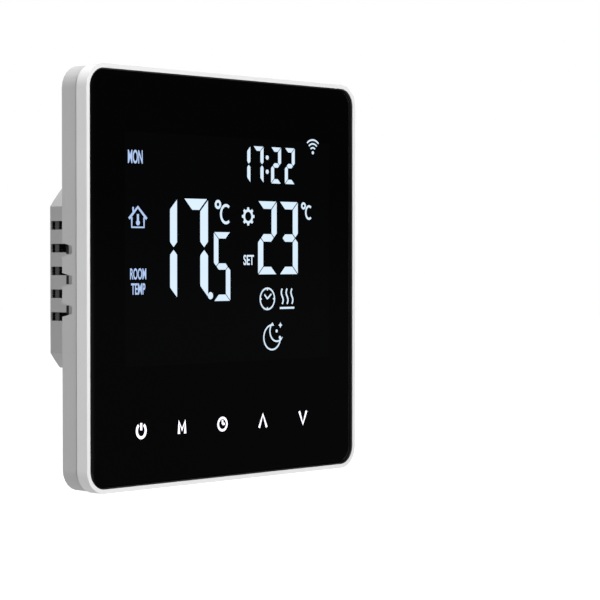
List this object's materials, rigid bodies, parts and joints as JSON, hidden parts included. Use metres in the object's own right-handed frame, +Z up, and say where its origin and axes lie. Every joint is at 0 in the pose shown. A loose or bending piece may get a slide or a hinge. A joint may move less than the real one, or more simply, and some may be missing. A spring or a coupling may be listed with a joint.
{
  "type": "wall thermostat",
  "caption": "Square flush wall thermostat with a black touch glass front, a pull-off display unit and a vented rear box that goes into the wall.",
  "frame": {"origin": "on the wall plane behind the middle of the face, where the wall fixing is named", "axes": "-Y out of the wall through the glass, +Y into the wall, +Z up, +X to the right as seen from the room"},
  "size_m": [0.086, 0.0334, 0.09],
  "materials": {
    "frame_white": "satin moulded plastic",
    "housing_grey": "fine-textured moulded plastic",
    "black_glass": "polished, printed black behind",
    "lcd_black": "polished",
    "clear_guide": "clear, polished",
    "white_film": "matt",
    "black_plastic": "moulded",
    "board_green": "solder mask over glass fibre board",
    "tape_black": "foam tape",
    "bright_steel": "zinc plated",
    "tin": "tinned",
    "ferrite": "pressed and ground",
    "winding_tape": "polyester tape",
    "relay_case": "moulded",
    "capacitor_box": "moulded",
    "capacitor_sleeve": "shrunk sleeve",
    "varistor_blue": "dipped epoxy",
    "terminal_green": "moulded",
    "sensor_epoxy": "dipped epoxy",
    "led_white": "moulded"
  },
  "bodies": {
    "rear_unit": {"rear_housing": "housing_grey", "inner_cover": "housing_grey", "cover_screw_1": "bright_steel", "cover_screw_2": "bright_steel", "cover_screw_3": "bright_steel", "cover_screw_4": "bright_steel", "plug_socket": "black_plastic", "power_board": "board_green", "relay": "relay_case", "transformer_core": "ferrite", "transformer_winding": "winding_tape", "film_capacitor": "capacitor_box", "electrolytic_1": "capacitor_sleeve", "electrolytic_2": "capacitor_sleeve", "fuse": "black_plastic", "varistor": "varistor_blue", "rectifier": "black_plastic", "terminal_block": "terminal_green", "contact_bar_1": "tin", "contact_bar_2": "tin", "contact_bar_3": "tin", "contact_bar_4": "tin", "contact_bar_5": "tin"},
    "front_unit": {"touch_glass": "black_glass", "glass_tape": "tape_black", "front_frame": "frame_white", "lcd_panel": "lcd_black", "light_guide": "clear_guide", "backlight_bar": "led_white", "reflector_sheet": "white_film", "lcd_holder": "white_film", "display_board": "board_green", "key_spring_1": "bright_steel", "key_spring_2": "bright_steel", "key_spring_3": "bright_steel", "key_spring_4": "bright_steel", "key_spring_5": "bright_steel", "key_led_1": "led_white", "key_led_2": "led_white", "key_led_3": "led_white", "key_led_4": "led_white", "key_led_5": "led_white", "key_light_block": "black_plastic", "microcontroller": "black_plastic", "wireless_module": "board_green", "wireless_shield": "tin", "buzzer": "black_plastic", "room_sensor": "sensor_epoxy", "pin_plug": "black_plastic"},
    "screw_1": {"terminal_screw_1": "bright_steel"},
    "cage_1": {"clamp_cage_1": "bright_steel"},
    "screw_2": {"terminal_screw_2": "bright_steel"},
    "cage_2": {"clamp_cage_2": "bright_steel"},
    "screw_3": {"terminal_screw_3": "bright_steel"},
    "cage_3": {"clamp_cage_3": "bright_steel"},
    "screw_4": {"terminal_screw_4": "bright_steel"},
    "cage_4": {"clamp_cage_4": "bright_steel"},
    "screw_5": {"terminal_screw_5": "bright_steel"},
    "cage_5": {"clamp_cage_5": "bright_steel"}
  },
  "joints": [
    {"name": "front_pull", "type": "slide", "parent": "rear_unit", "child": "front_unit", "axis": [0, -1, 0], "range_m": [0, 0.02]},
    {"name": "screw_1_turn", "type": "hinge", "parent": "rear_unit", "child": "screw_1", "pos_m": [-0.01524, 0.0236, -0.0159], "axis": [0, -1, 0], "range_deg": [0, 2160]},
    {"name": "cage_1_lift", "type": "slide", "parent": "rear_unit", "child": "cage_1", "axis": [0, 1, 0], "range_m": [0, 0.003]},
    {"name": "screw_2_turn", "type": "hinge", "parent": "rear_unit", "child": "screw_2", "pos_m": [-0.00762, 0.0236, -0.0159], "axis": [0, -1, 0], "range_deg": [0, 2160]},
    {"name": "cage_2_lift", "type": "slide", "parent": "rear_unit", "child": "cage_2", "axis": [0, 1, 0], "range_m": [0, 0.003]},
    {"name": "screw_3_turn", "type": "hinge", "parent": "rear_unit", "child": "screw_3", "pos_m": [0, 0.0236, -0.0159], "axis": [0, -1, 0], "range_deg": [0, 2160]},
    {"name": "cage_3_lift", "type": "slide", "parent": "rear_unit", "child": "cage_3", "axis": [0, 1, 0], "range_m": [0, 0.003]},
    {"name": "screw_4_turn", "type": "hinge", "parent": "rear_unit", "child": "screw_4", "pos_m": [0.00762, 0.0236, -0.0159], "axis": [0, -1, 0], "range_deg": [0, 2160]},
    {"name": "cage_4_lift", "type": "slide", "parent": "rear_unit", "child": "cage_4", "axis": [0, 1, 0], "range_m": [0, 0.003]},
    {"name": "screw_5_turn", "type": "hinge", "parent": "rear_unit", "child": "screw_5", "pos_m": [0.01524, 0.0236, -0.0159], "axis": [0, -1, 0], "range_deg": [0, 2160]},
    {"name": "cage_5_lift", "type": "slide", "parent": "rear_unit", "child": "cage_5", "axis": [0, 1, 0], "range_m": [0, 0.003]}
  ],
  "couplings": [
    {"joint": "screw_1_turn", "follows": "cage_1_lift", "rad_per_m": 12566},
    {"joint": "screw_2_turn", "follows": "cage_2_lift", "rad_per_m": 12566},
    {"joint": "screw_3_turn", "follows": "cage_3_lift", "rad_per_m": 12566},
    {"joint": "screw_4_turn", "follows": "cage_4_lift", "rad_per_m": 12566},
    {"joint": "screw_5_turn", "follows": "cage_5_lift", "rad_per_m": 12566}
  ]
}
